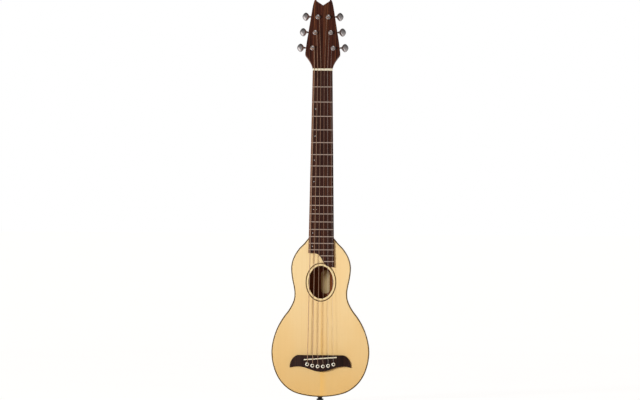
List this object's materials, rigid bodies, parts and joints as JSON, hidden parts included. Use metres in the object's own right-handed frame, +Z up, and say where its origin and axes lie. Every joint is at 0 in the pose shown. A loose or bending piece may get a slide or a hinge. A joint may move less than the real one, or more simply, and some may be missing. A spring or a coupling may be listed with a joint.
{
  "type": "travel guitar",
  "caption": "Small-bodied steel-string travel guitar with an oval sound hole, pinned bridge, swept fretboard end, notched headstock and geared tuning machines.",
  "frame": {"origin": "on the centre line, at the nut's fretboard edge, on the plane where the fretboard is glued to the neck", "axes": "+X to the treble side, +Y out of the back plate, +Z up the neck to the headstock"},
  "size_m": [0.2086, 0.0661, 0.8587],
  "materials": {
    "spruce_top": "satin lacquered spruce",
    "brace_spruce": "bare planed spruce",
    "mahogany": "satin lacquered mahogany",
    "neck_mahogany": "satin lacquered mahogany",
    "rosewood": "open-pored rosewood, oiled",
    "binding": "dark olive edge strip",
    "rosette": "flush inlaid ring",
    "bone": "polished bone",
    "pin_plastic": "white moulded pins",
    "black_plastic": "black moulded peg",
    "chrome": "polished chrome plate",
    "rod_steel": "plain drawn steel",
    "plain_steel": "bright drawn wire",
    "wound_bronze": "bronze wrap wire"
  },
  "bodies": {
    "body": {"soundboard": "spruce_top", "back_plate": "mahogany", "bass_side": "mahogany", "treble_side": "mahogany", "top_binding": "binding", "back_binding": "binding", "top_lining": "brace_spruce", "back_lining": "brace_spruce", "neck_block": "mahogany", "tail_block": "mahogany", "x_brace": "brace_spruce", "bridge_plate": "rosewood", "rosette": "rosette", "neck": "neck_mahogany", "fretboard": "rosewood", "truss_rod": "rod_steel", "nut": "bone", "bridge": "rosewood", "saddle": "bone", "end_pin": "black_plastic", "back_brace_1": "brace_spruce", "back_brace_2": "brace_spruce", "headstock_veneer": "rosewood", "bridge_pin_6": "pin_plastic", "string_6": "wound_bronze", "tuner_housing_6": "chrome", "tuner_bushing_6": "chrome", "bridge_pin_5": "pin_plastic", "string_5": "wound_bronze", "tuner_housing_5": "chrome", "tuner_bushing_5": "chrome", "bridge_pin_4": "pin_plastic", "string_4": "wound_bronze", "tuner_housing_4": "chrome", "tuner_bushing_4": "chrome", "bridge_pin_3": "pin_plastic", "string_3": "wound_bronze", "tuner_housing_3": "chrome", "tuner_bushing_3": "chrome", "bridge_pin_2": "pin_plastic", "string_2": "plain_steel", "tuner_housing_2": "chrome", "tuner_bushing_2": "chrome", "bridge_pin_1": "pin_plastic", "string_1": "plain_steel", "tuner_housing_1": "chrome", "tuner_bushing_1": "chrome"},
    "truss_nut": {"truss_rod_nut": "rod_steel"},
    "button_6": {"tuner_button_6": "chrome"},
    "post_6": {"tuner_post_6": "chrome"},
    "button_5": {"tuner_button_5": "chrome"},
    "post_5": {"tuner_post_5": "chrome"},
    "button_4": {"tuner_button_4": "chrome"},
    "post_4": {"tuner_post_4": "chrome"},
    "button_3": {"tuner_button_3": "chrome"},
    "post_3": {"tuner_post_3": "chrome"},
    "button_2": {"tuner_button_2": "chrome"},
    "post_2": {"tuner_post_2": "chrome"},
    "button_1": {"tuner_button_1": "chrome"},
    "post_1": {"tuner_post_1": "chrome"}
  },
  "joints": [
    {"name": "tune_6", "type": "hinge", "parent": "body", "child": "button_6", "pos_m": [-0.02205, 0.03047, 0.04938], "axis": [-1, 0, 0], "continuous": true},
    {"name": "wind_6", "type": "hinge", "parent": "body", "child": "post_6", "pos_m": [-0.02205, 0.01067, 0.04769], "axis": [0, -0.9703, 0.2419], "continuous": true},
    {"name": "tune_5", "type": "hinge", "parent": "body", "child": "button_5", "pos_m": [-0.01657, 0.03881, 0.08286], "axis": [-1, 0, 0], "continuous": true},
    {"name": "wind_5", "type": "hinge", "parent": "body", "child": "post_5", "pos_m": [-0.01657, 0.01902, 0.08117], "axis": [0, -0.9703, 0.2419], "continuous": true},
    {"name": "tune_4", "type": "hinge", "parent": "body", "child": "button_4", "pos_m": [-0.0111, 0.04716, 0.11633], "axis": [-1, 0, 0], "continuous": true},
    {"name": "wind_4", "type": "hinge", "parent": "body", "child": "post_4", "pos_m": [-0.0111, 0.02736, 0.11464], "axis": [0, -0.9703, 0.2419], "continuous": true},
    {"name": "tune_3", "type": "hinge", "parent": "body", "child": "button_3", "pos_m": [0.0111, 0.04716, 0.11633], "axis": [1, 0, 0], "continuous": true},
    {"name": "wind_3", "type": "hinge", "parent": "body", "child": "post_3", "pos_m": [0.0111, 0.02736, 0.11464], "axis": [0, -0.9703, 0.2419], "continuous": true},
    {"name": "tune_2", "type": "hinge", "parent": "body", "child": "button_2", "pos_m": [0.01657, 0.03881, 0.08286], "axis": [1, 0, 0], "continuous": true},
    {"name": "wind_2", "type": "hinge", "parent": "body", "child": "post_2", "pos_m": [0.01657, 0.01902, 0.08117], "axis": [0, -0.9703, 0.2419], "continuous": true},
    {"name": "tune_1", "type": "hinge", "parent": "body", "child": "button_1", "pos_m": [0.02205, 0.03047, 0.04938], "axis": [1, 0, 0], "continuous": true},
    {"name": "wind_1", "type": "hinge", "parent": "body", "child": "post_1", "pos_m": [0.02205, 0.01067, 0.04769], "axis": [0, -0.9703, 0.2419], "continuous": true},
    {"name": "truss_adjust", "type": "hinge", "parent": "body", "child": "truss_nut", "pos_m": [0, 0.0075, -0.405], "axis": [0, 0, 1], "range_deg": [-360, 360]}
  ],
  "couplings": [
    {"joint": "wind_6", "follows": "tune_6", "ratio": 0.071429},
    {"joint": "wind_5", "follows": "tune_5", "ratio": 0.071429},
    {"joint": "wind_4", "follows": "tune_4", "ratio": 0.071429},
    {"joint": "wind_3", "follows": "tune_3", "ratio": -0.071429},
    {"joint": "wind_2", "follows": "tune_2", "ratio": -0.071429},
    {"joint": "wind_1", "follows": "tune_1", "ratio": -0.071429}
  ]
}
